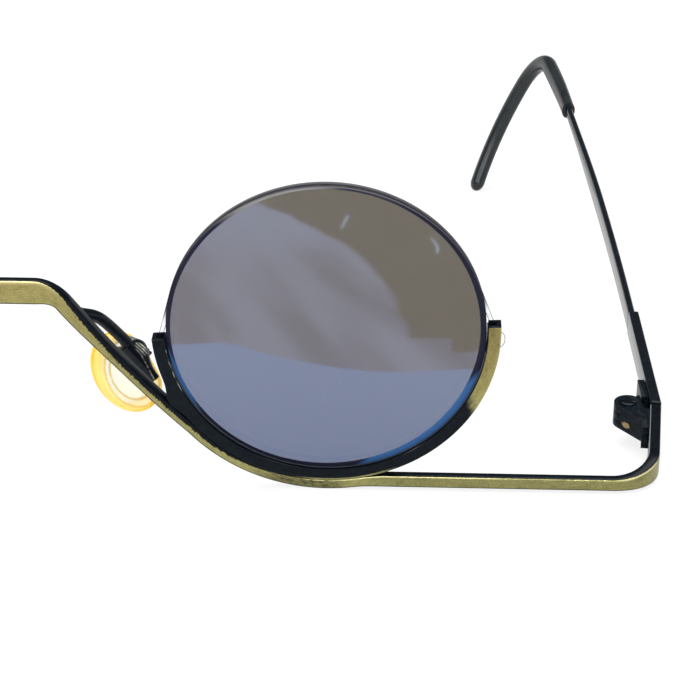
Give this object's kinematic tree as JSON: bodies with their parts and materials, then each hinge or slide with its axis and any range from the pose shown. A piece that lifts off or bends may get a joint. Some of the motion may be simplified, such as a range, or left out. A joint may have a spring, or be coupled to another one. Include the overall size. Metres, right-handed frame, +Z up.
{
  "type": "sunglasses",
  "caption": "Round half-rim sunglasses with a zigzag brass bar under the lenses, cord-held tinted lenses, rocking nose pads and folding wire temples with hooked tips.",
  "frame": {"origin": "centre of the base of the bounding box, on the surface the glasses stand on, with the temples open", "axes": "+X to the wearer's left, +Y back along the open temples, +Z up from the surface they stand on"},
  "size_m": [0.1416, 0.1312, 0.0355],
  "materials": {
    "front_brass": "antique, brushed through black plating",
    "rim_metal": "black plated",
    "black_metal": "black plated",
    "steel": "bright",
    "lens_tint": "mirror tint",
    "cord_nylon": "clear",
    "liner_black": "smooth",
    "pad_clear": "clear, slightly amber",
    "tip_black": "smooth"
  },
  "bodies": {
    "front": {"front_bar": "front_brass", "left_lens": "lens_tint", "left_rim": "rim_metal", "left_rim_liner": "liner_black", "left_lens_cord": "cord_nylon", "left_pad_box": "black_metal", "left_pad_screw": "steel", "left_pad_arm": "black_metal", "left_hinge_front_leaf": "black_metal", "left_hinge_screw": "steel", "right_lens": "lens_tint", "right_rim": "rim_metal", "right_rim_liner": "liner_black", "right_lens_cord": "cord_nylon", "right_pad_box": "black_metal", "right_pad_screw": "steel", "right_pad_arm": "black_metal", "right_hinge_front_leaf": "black_metal", "right_hinge_screw": "steel"},
    "left_temple": {"left_hinge_temple_leaf": "black_metal", "left_temple_butt": "black_metal", "left_temple_wire": "black_metal", "left_temple_tip": "tip_black"},
    "right_temple": {"right_hinge_temple_leaf": "black_metal", "right_temple_butt": "black_metal", "right_temple_wire": "black_metal", "right_temple_tip": "tip_black"},
    "left_pad": {"left_nose_pad": "pad_clear", "left_pad_core": "steel"},
    "right_pad": {"right_nose_pad": "pad_clear", "right_pad_core": "steel"}
  },
  "joints": [
    {"name": "left_temple_fold", "type": "hinge", "parent": "front", "child": "left_temple", "pos_m": [0.06707, -0.04458, 0.00362], "axis": [0, -0.1699, 0.9855], "range_deg": [0, 90]},
    {"name": "right_temple_fold", "type": "hinge", "parent": "front", "child": "right_temple", "pos_m": [-0.06707, -0.04458, 0.00362], "axis": [0, 0.1699, -0.9855], "range_deg": [0, 84]},
    {"name": "left_pad_rock", "type": "hinge", "parent": "front", "child": "left_pad", "pos_m": [0.01319, -0.05448, 0.01244], "axis": [-0.5491, -0.567, -0.614], "range_deg": [-8, 8]},
    {"name": "right_pad_rock", "type": "hinge", "parent": "front", "child": "right_pad", "pos_m": [-0.01319, -0.05448, 0.01244], "axis": [-0.5491, 0.567, 0.614], "range_deg": [-8, 8]}
  ]
}
